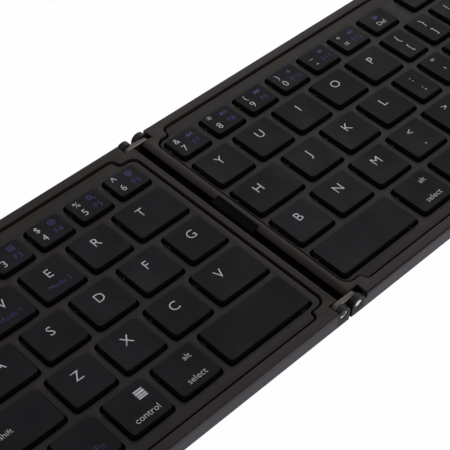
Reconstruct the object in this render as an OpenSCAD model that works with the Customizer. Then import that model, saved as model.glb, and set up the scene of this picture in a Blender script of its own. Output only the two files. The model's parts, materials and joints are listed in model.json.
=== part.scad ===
// Two-leaf folding keyboard. The fold runs along Y through x = 0, the device lies open on z = 0,
// +X is to the right, +Y is away from the user. Units are millimetres.

/* [Key field] */
// Width of a plate opening for a letter key
letter_w = 15.7; // [14.5:0.1:16.5]
// Width of a plate opening for a number key
number_w = 13.1; // [12:0.1:13.6]
// Width of the narrow punctuation openings near the right end
narrow_w = 11.1; // [10:0.1:12]
// Width of the letter openings that reach out to the fold (T, V and H)
fold_letter_w = 20.5; // [19:0.1:22]
// Width of the left space bar opening
left_space_w = 33.4; // [31:0.1:37]
// Width of the right space bar opening
right_space_w = 34.6; // [31:0.1:37]
// Width of the backspace opening
backspace_w = 15.2; // [13:0.1:16]
// Bar of plate between two openings in a row
web = 2.3; // [1.8:0.1:2.6]
// Distance from one row to the next
row_pitch = 16.8; // [16.6:0.1:18]
// Depth of an opening in the four lower rows
letter_d = 14.7; // [14:0.1:14.9]
// Depth of an opening in the number row
number_d = 10.7; // [10:0.1:12]
// Distance from the fold to the openings of the left leaf
left_start = 7.4; // [6.9:0.1:8.5]
// Distance from the fold to the openings of the right leaf
right_start = 5.6; // [5.5:0.1:6.9]
// Distance from the fold to the far end of the openings on both leaves
field_end = 133.5; // [131.5:0.5:140]
// Corner radius of an opening
opening_r = 1.5; // [1.1:0.1:2.4]

/* [Keycaps] */
// Height of a keycap above the plate
key_rise = 1.5; // [1.3:0.05:1.55]
// Full travel of a key
key_travel = 1.2; // [0.8:0.05:1.2]
// Height of a keycap with its skirt
cap_h = 1.8; // [1.6:0.1:2]
// Gap between a keycap and its opening
cap_gap = 0.75; // [0.5:0.05:0.9]
// Corner radius of a keycap
cap_r = 1.2; // [1.1:0.1:1.6]
// Height of the bevelled top step of a keycap
cap_step = 0.15; // [0.1:0.05:0.3]
// Wall thickness of a keycap
cap_wall = 0.8; // [0.6:0.1:1]
// Gap between the two halves of the up and down arrow keys
arrow_gap = 1.2; // [0.8:0.1:2]

/* [Leaf] */
// Plate between the front edge and the lowest row
front_margin = 7.9; // [7.7:0.1:12]
// Plate between the number row and the back edge
back_margin = 8.9; // [8.7:0.1:12]
// Plate between the far openings and the outer end
end_margin = 7; // [6.5:0.1:12]
// Thickness of a leaf, from its underside to the key plate
leaf_t = 5.8; // [5.6:0.1:6.6]
// Height of the rim above the key plate
rim_rise = 0.6; // [0.4:0.05:0.7]
// Width of the rim round the key plate
rim_w = 3.3; // [3.2:0.05:3.4]
// Width of the groove between rim and key plate
groove_w = 0.75; // [0.6:0.05:0.85]
// Thickness of the top frame's rim
rim_t = 1.1; // [1:0.05:1.2]
// Thickness of the key plate
plate_t = 1.2; // [1:0.05:1.3]
// Thickness of the shell's floor
floor_t = 0.8; // [0.7:0.05:0.9]
// Thickness of the shell's walls
wall_t = 1.2; // [1:0.05:1.3]
// Corner radius of the outer ends
corner_r = 5; // [3:0.5:6]
// Radius along the bottom edges
edge_r = 0.4; // [0.3:0.1:1.4]
// Radius along the top edges
top_edge_r = 0.5; // [0.3:0.05:0.6]

/* [Hinge] */
// Distance between the two hinge axes
pin_spacing = 6.4; // [6.3:0.05:7]
// Depth of the hinge axes below the key plate
pin_drop = 1.6; // [1.5:0.05:1.65]
// Diameter of the hinge pins
pin_d = 1.8; // [1.4:0.1:2]
// Diameter of the domed pin heads
head_d = 2.6; // [2.3:0.1:2.8]
// Height of a pin head's dome
dome_h = 0.4; // [0.2:0.05:0.5]
// Radius of the hinge ears
ear_r = 2.6; // [2.4:0.05:2.7]
// Thickness of the hinge ears
ear_t = 2.1; // [1.8:0.1:2.4]
// Radius of the link plate's round ends
link_r = 2; // [1.8:0.05:2.1]
// Thickness of the link plates
link_t = 1.5; // [1.2:0.1:1.7]
// Space between a link's end and the end of its pocket in the left leaf
left_pocket_gap = 0.3; // [0.2:0.05:1.5]
// Space between the front link's end and the end of its pocket in the right leaf
right_pocket_gap = 1.6; // [0.2:0.1:2.4]
// Space between the rear link's end and the end of its pocket in the right leaf
rear_pocket_gap = 0.7; // [0.2:0.1:2.4]
// Length of the cut-back corners of the key plate, from the fold
notch_u = 11; // [10:0.5:14]
// Depth of the cut-back corner at the front edge
front_notch = 6.6; // [6:0.1:7]
// Depth of the cut-back corner at the back edge
back_notch = 7.6; // [6:0.1:8]
// Length of the cable cover
cover_len = 17.4; // [12:0.1:24]
// Place of the cable cover's middle, behind the middle of the leaf
cover_y = 1.2; // [-4:0.1:4]

/* [Feet and inner parts] */
// Height of the rubber feet
foot_h = 0.6; // [0.5:0.05:1]
// Length of a rubber foot
foot_len = 14; // [10:0.5:18]
// Width of a rubber foot
foot_w = 4; // [3:0.1:5]
// Battery pouch length
battery_len = 62; // [40:1:80]
// Battery pouch width
battery_w = 30; // [20:1:31]
// Battery pouch thickness
battery_t = 1.5; // [1:0.05:1.5]
// Circuit board length
board_len = 52; // [40:1:60]
// Circuit board width
board_w = 22; // [16:1:26]
// Circuit board thickness
board_t = 0.8; // [0.6:0.1:1]
// Width of the charging socket
socket_w = 8.9; // [8.9:0.1:9.2]
// Height of the charging socket
socket_h = 3.2; // [3.1:0.05:3.3]
// Length of the charging socket
socket_len = 6.6; // [6:0.1:6.8]
// Distance from a leaf's outer end to the charging socket's middle
socket_inset = 22.5; // [16.5:0.5:30.5]
// Diameter of the case screws
screw_d = 1.4; // [1.2:0.1:1.6]

/* [Hidden] */
$fn = 32;
eps = 0.01;
big = 400;

// Running and mounting clearances
run_gap = 0.05;
turn_gap = 0.2;
fit_gap = 0.15;

// Levels above the table
z_bottom = foot_h;
z_floor = z_bottom + floor_t;
z_plate = z_bottom + leaf_t;
z_plate_under = z_plate - plate_t;
z_rim = z_plate + rim_rise;
z_part = z_rim - rim_t;
z_pin = z_plate - pin_drop;
z_skirt = z_pin - 0.8;
z_cap_top = z_plate + key_rise;
z_cap_under = z_cap_top - cap_h;
z_cap_down = z_cap_under - key_travel;

// Stack under the keys: support plate, switch membrane, clips and domes
mesh_t = 0.3;
flat_h = 0.95;
z_membrane_top = z_cap_down - flat_h;
z_support = z_membrane_top - 2 * mesh_t;
seat_gap = 0.05;
clip_h = z_cap_top - cap_wall - z_membrane_top - seat_gap;
clip_in = cap_gap + cap_wall + (cap_r - cap_wall) * (1 - sqrt(0.5)) + run_gap;
clip_bar = 0.5;
clip_pin_r = 0.2;
dome_r = 2.1;
dome_top_r = 0.5;

// Hinge clearance behind a link, depth of a pin's blind hole and thickness of its head's rim
link_back_gap = 0.4;
pin_hole_d = 2.3;
head_rim = 0.3;

// Plan of a leaf. u is the distance from the fold, v the distance from the front edge.
leaf_d = front_margin + 4 * row_pitch + number_d + back_margin;
leaf_end = field_end + end_margin;
socket_x = leaf_end - socket_inset;
pin_u = pin_spacing / 2;
fold_r = z_rim - z_pin;
leaf_edge = pin_u - fold_r;
ear_edge = pin_u - ear_r;
pocket_d = ear_t + turn_gap + link_t + link_back_gap;
left_pockets = [1, 1] * (pin_u + link_r + left_pocket_gap);
right_pockets = [1, 1] * (pin_u + link_r) + [right_pocket_gap, rear_pocket_gap];
boss_d = pin_hole_d + 0.5;
shelf_w = 1.1;
plate_in = rim_w + groove_w;
plate_r = 2.2;
fold_corner_r = 2.6;

// Places of screws, posts, feet and magnets on a leaf
screw_in = 2.9;
screw_head_d = 2.6;
screw_head_h = 0.5;
boss_r = 1.8;
screw_uv = [[40, screw_in], [96, screw_in], [40, leaf_d - screw_in], [96, leaf_d - screw_in],
            [leaf_end - screw_in, 16], [leaf_end - screw_in, leaf_d - 16]];
post_r = 0.9;
post_u = [20, 52, 92, field_end - 9];
foot_sink = 0.3;
foot_in_u = 12;
foot_in_v = 6;
foot_r = foot_w / 2 - 0.1;
magnet = [2.4, 10, 2];
magnet_v = 24;
battery_u = 56;
board_past = 12;
chip_t = 1.5;
socket_in = 0.2;
socket_wall = 0.3;
tongue = [6.2, 4.6, 0.7];
support_in = socket_len + 0.8;
support_u = 4.4;

// Cable cover: it belongs to the right leaf, bridges the channel and holds the flat cable
cover_top = z_rim - 0.5;
cover_under = z_pin - 0.5;
cover_reach = 0.65;
cover_u = 2.8;
cover_tip_r = 0.6;
tail_t = 0.8;
tail_u = leaf_edge + plate_in + 0.5;
relief_gap = 0.9;
relief_side = 0.4;
cable_t = 0.3;
cable_w = 9;
cover_v = [leaf_d / 2 + cover_y - cover_len / 2, leaf_d / 2 + cover_y + cover_len / 2];

// Widths of the openings of each row, outwards from the fold, lowest row first
half_w = (field_end - at(left_start, [left_space_w, each letters(3)], 4) - web) / 2;
arrow_w = (field_end - at(right_start, [right_space_w, each letters(2)], 3) - 2 * web) / 3;
left_rows = [
    [left_space_w, each letters(3), half_w, half_w],
    filled(left_start, [fold_letter_w, each letters(3)], letter_w),
    filled(left_start, letters(5), 0),
    filled(left_start, [fold_letter_w, each letters(4)], 0),
    filled(left_start, numbers(7), 0)];
right_rows = [
    [right_space_w, each letters(2), arrow_w, arrow_w, arrow_w],
    filled(right_start, letters(6), 0),
    filled(right_start, [fold_letter_w, each letters(3), narrow_w, narrow_w], 0),
    filled(right_start, [each letters(5), narrow_w, narrow_w], 0),
    numbers(7)];

// Letters outwards from the fold, with the row that they stand in
left_letters = [["vcxz", 1], ["gfdsa", 2], ["trewq", 3]];
right_letters = [["bnm", 1], ["hjkl", 2], ["yuiop", 3]];
LETTERS = [for (side = [0, 1], row = side == 0 ? left_letters : right_letters, i = [0:len(row[0]) - 1])
    [str("key_", row[0][i]), side, row[1], i]];

function letters(n) = [for (i = [1:n]) letter_w];
function numbers(n) = [for (i = [1:n]) number_w];

// Start of opening i in a row that begins at the given distance from the fold
function at(start, widths, i) = i == 0 ? start : at(start, widths, i - 1) + widths[i - 1] + web;

// A row's widths with one more opening that fills it up to field_end, less the last width given
function filled(start, widths, last) =
    let (rest = field_end - at(start, widths, len(widths)))
    last == 0 ? concat(widths, [rest]) : concat(widths, [rest - last - web, last]);

function row_v(row) = front_margin + row * row_pitch;
function row_d(row) = row == 4 ? number_d : letter_d;
function start_of(side) = side == 0 ? left_start : right_start;
function rows_of(side) = side == 0 ? left_rows : right_rows;

// Opening [u, v, width, depth] of key i in a row
function opening(side, row, i) =
    [at(start_of(side), rows_of(side)[row], i), row_v(row), rows_of(side)[row][i], row_d(row)];

function row_openings(side, row) = [for (i = [0:len(rows_of(side)[row]) - 1]) opening(side, row, i)];
backspace = [field_end - backspace_w, row_v(4), backspace_w, number_d];

// All openings of a leaf
function openings(side) = [
    for (row = [0:4], o = row_openings(side, row)) o,
    if (side == 1) backspace];

// The up and down arrows share one opening
up_down = opening(1, 0, 4);
half_arrow_d = (letter_d - 2 * cap_gap - arrow_gap) / 2 + 2 * cap_gap;
arrow_pair = [
    [up_down[0], up_down[1], up_down[2], half_arrow_d],
    [up_down[0], up_down[1] + letter_d - half_arrow_d, up_down[2], half_arrow_d]];

// The cell of each key of a leaf, where the shared opening counts as two
function cells(side) = [
    for (o = openings(side)) if (side == 0 || o != up_down) o,
    if (side == 1) each arrow_pair];

// Posts stand in the bars of plate below rows 1, 3 and 4
function post_places() = [for (u = post_u, row = [1, 3, 4]) [u, row_v(row) - (row_pitch - letter_d) / 2]];

function foot_places() = [
    for (u = [foot_in_u, leaf_end - foot_in_u - foot_len], v = [foot_in_v, leaf_d - foot_in_v - foot_w])
        [u, v]];

// Places a leaf: side 0 is the left one and is mirrored
module leaf(side) {
    mirror([side == 0 ? 1 : 0, 0, 0]) translate([0, -leaf_d / 2, 0]) children();
}

// Rectangle with its lower corner at p, round corners made of circles
module round_rect(p, size, r) {
    translate(p) {
        translate([r, 0]) square([size[0] - 2 * r, size[1]]);
        translate([0, r]) square([size[0], size[1] - 2 * r]);
        for (x = [r, size[0] - r], y = [r, size[1] - r]) translate([x, y]) circle(r);
    }
}

module slab(z0, z1) {
    translate([0, 0, z0]) linear_extrude(z1 - z0) children();
}

module box(lo, hi) {
    translate(lo) cube(hi - lo);
}

// A cylinder along Y on a hinge axis, from v0 to v1
module along_pin(v0, v1, r, u = pin_u) {
    translate([u, v0, z_pin]) rotate([-90, 0, 0]) cylinder(h = v1 - v0, r = r);
}

// Runs the same feature at the front edge and, mirrored, at the back edge, each with its own pocket
module both_ends(pockets = [0, 0]) {
    let ($pocket = pockets[0]) children();
    translate([0, leaf_d, 0]) mirror([0, 1, 0]) let ($pocket = pockets[1]) children();
}

// Outer form of a leaf, seen from the front: flat on top, half round towards the fold
module front_outline() {
    translate([pin_u, z_pin]) circle(fold_r);
    translate([leaf_edge, z_bottom]) square([pin_u, z_pin - z_bottom]);
    translate([pin_u, z_bottom]) square([leaf_end - pin_u - edge_r, edge_r]);
    translate([pin_u, z_bottom + edge_r])
        square([leaf_end - pin_u, z_rim - z_bottom - edge_r - top_edge_r]);
    translate([pin_u, z_rim - top_edge_r]) square([leaf_end - pin_u - top_edge_r, top_edge_r]);
    translate([leaf_end - edge_r, z_bottom + edge_r]) circle(edge_r);
    translate([leaf_end - top_edge_r, z_rim - top_edge_r]) circle(top_edge_r);
}

// Outer form of a leaf, seen from its outer end
module end_outline() {
    translate([0, z_bottom + edge_r]) square([leaf_d, z_rim - z_bottom - edge_r - top_edge_r]);
    translate([edge_r, z_bottom]) square([leaf_d - 2 * edge_r, edge_r]);
    translate([top_edge_r, z_rim - top_edge_r]) square([leaf_d - 2 * top_edge_r, top_edge_r]);
    for (y = [edge_r, leaf_d - edge_r]) translate([y, z_bottom + edge_r]) circle(edge_r);
    for (y = [top_edge_r, leaf_d - top_edge_r]) translate([y, z_rim - top_edge_r]) circle(top_edge_r);
}

// Outer form of a leaf in plan, drawn in from the edges by a distance
module plan(inset) {
    r = max(corner_r - inset, 1);
    lo = leaf_edge + inset;
    hi = leaf_end - inset;
    translate([lo, inset]) square([hi - r - lo, leaf_d - 2 * inset]);
    translate([lo, inset + r]) square([hi - lo, leaf_d - 2 * inset - 2 * r]);
    for (y = [inset + r, leaf_d - inset - r]) translate([hi - r, y]) circle(r);
}

module leaf_block(z0, z1) {
    intersection() {
        translate([0, leaf_d, 0]) rotate([90, 0, 0]) linear_extrude(leaf_d) front_outline();
        rotate([90, 0, 90]) linear_extrude(leaf_end) end_outline();
        slab(z0, z1) plan(0);
    }
}

// Cut-back corner of the key plate, its own corner round and the two beside it rounded off
module plate_notch(notch, grow) {
    past = 1;
    r = (notch - plate_in) / 2;
    side = [notch_u - grow, notch - grow];
    start = [leaf_edge + plate_in - grow, plate_in - grow];
    round_rect([-past, -past], side + [past, past], max(r - grow, eps));
    corner_off([side[0], start[1]], r + grow);
    corner_off([start[0], side[1]], fold_corner_r + grow);
}

// Rounds off a corner at p that opens away from the origin
module corner_off(p, r) {
    translate(p) difference() {
        square(2 * r, center = true);
        translate([r, r]) circle(r);
    }
}

// Key plate outline with its corners cut back at the hinges, grown by a distance
module plate_outline(grow) {
    difference() {
        round_rect([leaf_edge + plate_in - grow, plate_in - grow],
            [leaf_end - leaf_edge - 2 * plate_in + 2 * grow, leaf_d - 2 * plate_in + 2 * grow],
            plate_r + grow);
        plate_notch(front_notch, grow);
        translate([0, leaf_d]) mirror([0, 1]) plate_notch(back_notch, grow);
    }
}

// Space of the cable cover in the right leaf: a notch in the rim and a slot under it for the tail
module cover_notch() {
    lo = [0, cover_v[0] - fit_gap, z_skirt];
    box(lo, [cover_u + fit_gap, cover_v[1] + fit_gap, z_rim + 1]);
    box(lo, [tail_u + shelf_w, cover_v[1] + fit_gap, z_plate_under]);
}

// Space in the left leaf for the tip of the cable cover, which swings about the right axis
module cover_relief() {
    arm = [pin_u + cover_reach - cover_tip_r, cover_top - z_pin - cover_tip_r];
    swing_r = norm(arm) + cover_tip_r + relief_gap;
    along_pin(cover_v[0] - relief_side, cover_v[1] + relief_side, swing_r, -pin_u);
}

// Holes for a hinge pin and its head, at the front edge
module pin_holes() {
    along_pin(-1, pocket_d + pin_hole_d, pin_d / 2 + run_gap);
    along_pin(-1, dome_h + head_rim + fit_gap, head_d / 2 + fit_gap);
}

// Ear at the front edge: round on top, square below the pin, joined to the front wall
module ear() {
    along_pin(0, ear_t, ear_r);
    intersection() {
        box([ear_edge, 0, z_bottom], [$pocket + wall_t, ear_t, z_pin]);
        rotate([90, 0, 90]) linear_extrude($pocket + wall_t) end_outline();
    }
}

module base_shell(side, pockets) {
    difference() {
        union() {
            difference() {
                leaf_block(z_bottom, z_part);
                difference() {
                    slab(z_floor, z_rim + 1) plan(wall_t);
                    both_ends(pockets) box([0, 0, 0], [$pocket + wall_t, pocket_d + boss_d, big]);
                }
                both_ends(pockets)
                    box([0, -1, z_pin - link_r - turn_gap], [$pocket, pocket_d, z_rim + 1]);
            }
            both_ends(pockets) ear();
            for (s = screw_uv) translate([s[0], s[1], z_bottom + screw_head_h])
                cylinder(h = z_skirt - z_bottom - screw_head_h, r = boss_r);
            for (p = post_places()) translate([p[0], p[1], z_bottom])
                cylinder(h = z_support - z_bottom, r = post_r);
        }
        slab(z_plate_under, big) plate_outline(groove_w);
        both_ends() pin_holes();
        for (s = screw_uv) translate([s[0], s[1], 0]) {
            cylinder(h = big, r = screw_d / 2 + fit_gap);
            cylinder(h = z_bottom + screw_head_h, r = screw_head_d / 2 + fit_gap);
        }
        for (f = foot_places()) slab(0, z_bottom + foot_sink)
            round_rect(f - [run_gap, run_gap], [foot_len, foot_w] + 2 * [run_gap, run_gap], foot_r + run_gap);
        if (side == 0) {
            cover_relief();
        } else {
            cover_notch();
            socket_space();
        }
    }
}

// Top frame: the rim, a skirt inside the shell's wall and the shelf that carries the key plate
module top_frame(side, pockets) {
    difference() {
        union() {
            leaf_block(z_part, z_rim);
            slab(z_skirt, z_part) plan(wall_t + fit_gap);
        }
        slab(z_plate_under, z_rim + 1) plate_outline(groove_w);
        slab(0, big) plate_outline(groove_w - shelf_w);
        both_ends(pockets) {
            box([0, -1, 0], [$pocket, pocket_d, big]);
            box([0, 0, 0], [$pocket + wall_t + fit_gap, pocket_d + boss_d + fit_gap, z_part]);
            along_pin(-1, ear_t + fit_gap, ear_r + fit_gap);
        }
        for (s = screw_uv) translate([s[0], s[1], 0]) cylinder(h = z_plate_under - 0.1, r = screw_d / 2);
        if (side == 0) {
            cover_relief();
        } else {
            cover_notch();
            socket_space();
        }
    }
}

module key_plate(side) {
    slab(z_plate_under, z_plate) difference() {
        plate_outline(0);
        for (o = openings(side)) round_rect([o[0], o[1]], [o[2], o[3]], opening_r);
    }
    for (p = post_places()) translate([p[0], p[1], z_membrane_top])
        cylinder(h = z_plate - z_membrane_top - eps, r = post_r);
}

module support_outline() {
    round_rect([support_u, support_in],
        [leaf_end - support_in - support_u, leaf_d - 2 * support_in], 1);
}

module support_plate() {
    slab(z_support, z_support + mesh_t) support_outline();
}

module switch_membrane() {
    slab(z_support + mesh_t, z_membrane_top) support_outline();
}

function clip_size(o) = [min(o[2], letter_w) - 2 * clip_in, o[3] - 2 * clip_in];

// The hole in the middle of a clip, which the dome stands in
function clip_hole(o) = clip_size(o)[1] - 4 * clip_bar - 2 * fit_gap;

module at_cell(o) {
    translate([o[0] + o[2] / 2, o[1] + o[3] / 2, 0]) children();
}

module rubber_domes(side) {
    for (o = cells(side)) at_cell(o) translate([0, 0, z_membrane_top])
        cylinder(h = clip_h, r1 = min(dome_r, clip_hole(o) / 2 - run_gap), r2 = dome_top_r);
}

// One frame of a scissor clip, tilted about its middle
module clip_frame(size, tilt) {
    rotate([0, tilt, 0]) translate([0, 0, -clip_bar / 2]) linear_extrude(clip_bar) difference() {
        square(size, center = true);
        square(size - 2 * [clip_bar, clip_bar], center = true);
    }
}

// Two crossed frames, one inside the other, pinned together halfway
module scissor_clip(o) {
    size = clip_size(o);
    inner = [size[0], size[1] - 2 * clip_bar - 2 * fit_gap];
    tilt = asin((clip_h - clip_bar) / size[0]);
    at_cell(o) translate([0, 0, z_membrane_top + clip_h / 2]) {
        clip_frame(size, tilt);
        clip_frame(inner, -tilt);
        for (m = [0, 1]) mirror([0, m, 0])
            translate([0, size[1] / 2 - 2 * clip_bar - fit_gap + eps, 0]) rotate([-90, 0, 0])
                cylinder(h = 2 * clip_bar + fit_gap - 2 * eps, r = clip_pin_r);
    }
}

module scissor_clips(side) {
    for (o = cells(side)) scissor_clip(o);
}

module magnets() {
    for (v = [magnet_v, leaf_d - magnet_v - magnet[1]])
        translate([leaf_end - wall_t - fit_gap - magnet[0], v, z_floor]) cube(magnet);
}

module feet() {
    for (f = foot_places()) slab(0, z_bottom + foot_sink) round_rect(f, [foot_len, foot_w], foot_r);
}

module case_screws() {
    for (s = screw_uv) translate([s[0], s[1], z_bottom + seat_gap]) {
        cylinder(h = z_plate_under - z_bottom - 0.3, r = screw_d / 2);
        cylinder(h = screw_head_h - seat_gap, r = screw_head_d / 2);
    }
}

// Pouch between the posts of rows 1 and 3
module battery() {
    v = (row_v(1) + row_v(3) - row_pitch + letter_d) / 2 - battery_w / 2;
    slab(z_floor, z_floor + battery_t) round_rect([battery_u, v], [battery_len, battery_w], 1);
}

// Board with two chips, cut out round the posts; the charging socket stands at its back edge
module main_board() {
    u = socket_x + board_past - board_len;
    v = leaf_d - socket_in - socket_len - board_w;
    color("darkgreen") leaf(1) difference() {
        union() {
            box([u, v, z_floor], [u + board_len, v + board_w, z_floor + board_t]);
            box([u + 2, v + 6, z_floor], [u + 9, v + 13, z_floor + chip_t]);
            box([u + 24, v + 4, z_floor], [u + 30, v + 9, z_floor + chip_t]);
        }
        for (p = post_places()) translate([p[0], p[1], 0]) cylinder(h = big, r = post_r + fit_gap);
    }
}

// Cut for the charging socket in the back wall and the frame above it
module socket_space() {
    translate([socket_x, leaf_d + 1, z_floor + socket_h / 2]) rotate([90, 0, 0])
        linear_extrude(socket_in + socket_len + 1 + fit_gap)
            round_rect([-socket_w / 2 - run_gap, -socket_h / 2], [socket_w + 2 * run_gap, socket_h + run_gap],
                socket_h / 2);
}

module charging_socket() {
    outer = [socket_w, socket_h];
    inner = outer - 2 * [socket_wall, socket_wall];
    color("gainsboro") leaf(1) translate([socket_x, leaf_d - socket_in, z_floor + socket_h / 2]) {
        difference() {
            rotate([90, 0, 0]) linear_extrude(socket_len) round_rect(-outer / 2, outer, socket_h / 2 - eps);
            translate([0, 1, 0]) rotate([90, 0, 0]) linear_extrude(socket_len - socket_wall + 1)
                round_rect(-inner / 2, inner, socket_h / 2 - socket_wall - eps);
        }
        translate([-tongue[0] / 2, socket_wall / 2 - socket_len, -tongue[2] / 2]) cube(tongue);
    }
}

// Keycap for an opening: hollow below, with a stepped top edge
module keycap(o) {
    p = [o[0] + cap_gap, o[1] + cap_gap];
    size = [o[2] - 2 * cap_gap, o[3] - 2 * cap_gap];
    in = [cap_step, cap_step];
    hollow = [cap_wall, cap_wall];
    difference() {
        union() {
            slab(z_cap_under, z_cap_top - cap_step) round_rect(p, size, cap_r);
            slab(z_cap_under, z_cap_top) round_rect(p + in, size - 2 * in, cap_r - cap_step);
        }
        slab(z_cap_under - 1, z_cap_top - cap_wall)
            round_rect(p + hollow, size - 2 * hollow, cap_r - cap_wall);
    }
}

module letter_key(k) {
    color("#1d1d20") leaf(k[1]) keycap(opening(k[1], k[2], k[3]));
}

module left_space_bar() {
    color("#1d1d20") leaf(0) keycap(opening(0, 0, 0));
}

module right_space_bar() {
    color("#1d1d20") leaf(1) keycap(opening(1, 0, 0));
}

module left_number_keys() {
    color("#1d1d20") leaf(0) for (o = row_openings(0, 4)) keycap(o);
}

module right_number_keys() {
    color("#1d1d20") leaf(1) for (o = concat(row_openings(1, 4), [backspace])) keycap(o);
}

// Everything outside the letters: shift, control, tab and the like
module left_side_keys() {
    color("#1d1d20") leaf(0) {
        for (i = [1:5]) keycap(opening(0, 0, i));
        for (i = [4:5]) keycap(opening(0, 1, i));
        for (row = [2, 3]) keycap(opening(0, row, 5));
    }
}

module right_side_keys() {
    color("#1d1d20") leaf(1) {
        for (i = [1, 2, 3, 5]) keycap(opening(1, 0, i));
        for (o = arrow_pair) keycap(o);
        for (i = [3:6]) keycap(opening(1, 1, i));
        for (i = [4:6]) keycap(opening(1, 2, i));
        for (i = [5:7]) keycap(opening(1, 3, i));
    }
}

module left_base_shell() { color("#4a474a") leaf(0) base_shell(0, left_pockets); }
module right_base_shell() { color("#4a474a") leaf(1) base_shell(1, right_pockets); }
module left_top_frame() { color("#3c3836") leaf(0) top_frame(0, left_pockets); }
module right_top_frame() { color("#3c3836") leaf(1) top_frame(1, right_pockets); }
module left_key_plate() { color("#403c3a") leaf(0) key_plate(0); }
module right_key_plate() { color("#403c3a") leaf(1) key_plate(1); }
module left_support_plate() { color("gray") leaf(0) support_plate(); }
module right_support_plate() { color("gray") leaf(1) support_plate(); }
module left_switch_membrane() { color("seagreen") leaf(0) switch_membrane(); }
module right_switch_membrane() { color("seagreen") leaf(1) switch_membrane(); }
module left_rubber_domes() { color("ivory") leaf(0) rubber_domes(0); }
module right_rubber_domes() { color("ivory") leaf(1) rubber_domes(1); }
module left_scissor_clips() { color("lightgray") leaf(0) scissor_clips(0); }
module right_scissor_clips() { color("lightgray") leaf(1) scissor_clips(1); }
module left_battery() { color("silver") leaf(0) battery(); }
module left_magnets() { color("silver") leaf(0) magnets(); }
module right_magnets() { color("silver") leaf(1) magnets(); }
module left_feet() { color("#222222") leaf(0) feet(); }
module right_feet() { color("#222222") leaf(1) feet(); }
module left_screws() { color("dimgray") leaf(0) case_screws(); }
module right_screws() { color("dimgray") leaf(1) case_screws(); }

// Link plate with a hole on each hinge axis
module link() {
    v0 = ear_t + turn_gap;
    difference() {
        union() {
            for (u = [-pin_u, pin_u]) along_pin(v0, v0 + link_t, link_r, u);
            box([-pin_u, v0, z_pin - link_r], [pin_u, v0 + link_t, z_pin + link_r]);
        }
        for (u = [-pin_u, pin_u]) along_pin(v0 - 1, v0 + link_t + 1, pin_d / 2, u);
    }
}

module front_link() { color("#8f8a88") leaf(1) link(); }
module rear_link() { color("#8f8a88") leaf(1) translate([0, leaf_d, 0]) mirror([0, 1, 0]) link(); }

// One headed pin at the front edge
module hinge_pin(u) {
    ball_r = (pow(head_d / 2, 2) + pow(dome_h, 2)) / (2 * dome_h);
    along_pin(dome_h, pocket_d + pin_hole_d - turn_gap, pin_d / 2, u);
    along_pin(dome_h, dome_h + head_rim, head_d / 2, u);
    intersection() {
        translate([u, ball_r, z_pin]) sphere(r = ball_r);
        along_pin(-1, dome_h + eps, head_d / 2, u);
    }
}

module hinge_pins() {
    color("silver") leaf(1) for (u = [-pin_u, pin_u]) both_ends() hinge_pin(u);
}

// Side view of the cable cover: a block with a round tip, and a thin tail under the right rim
module cover_outline() {
    tip = [-cover_reach + cover_tip_r, cover_top - cover_tip_r];
    translate([-cover_reach, cover_under]) square([cover_reach + cover_u, tip[1] - cover_under]);
    translate([tip[0], cover_under]) square([cover_u - tip[0], cover_top - cover_under]);
    translate(tip) circle(cover_tip_r);
    translate([tip[0], cover_under]) square([tail_u - tip[0], tail_t]);
}

// Flat cable inside the cover
module cable_strip() {
    v = leaf_d / 2 + cover_y - cable_w / 2;
    z = cover_under + (tail_t - cable_t) / 2;
    box([-cover_reach, v, z], [tail_u, v + cable_w, z + cable_t]);
}

module cable_cover() {
    color("#17181b") leaf(1) difference() {
        translate([0, cover_v[1], 0]) rotate([90, 0, 0]) linear_extrude(cover_len) cover_outline();
        cable_strip();
    }
}

module flex_cable() { color("#b5652a") leaf(1) cable_strip(); }

left_base_shell();
left_top_frame();
left_key_plate();
left_support_plate();
left_switch_membrane();
left_rubber_domes();
left_scissor_clips();
left_battery();
left_magnets();
left_feet();
left_screws();
right_base_shell();
right_top_frame();
right_key_plate();
right_support_plate();
right_switch_membrane();
right_rubber_domes();
right_scissor_clips();
main_board();
charging_socket();
right_magnets();
right_feet();
right_screws();
front_link();
rear_link();
hinge_pins();
cable_cover();
flex_cable();
left_space_bar();
right_space_bar();
left_number_keys();
right_number_keys();
left_side_keys();
right_side_keys();
for (k = LETTERS) letter_key(k);
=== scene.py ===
"""Folding keyboard: bevelled keycaps with printed legends, hinge hardware and finishes."""

import json
import math

import bmesh
import bpy
from mathutils import Matrix, Vector

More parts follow.
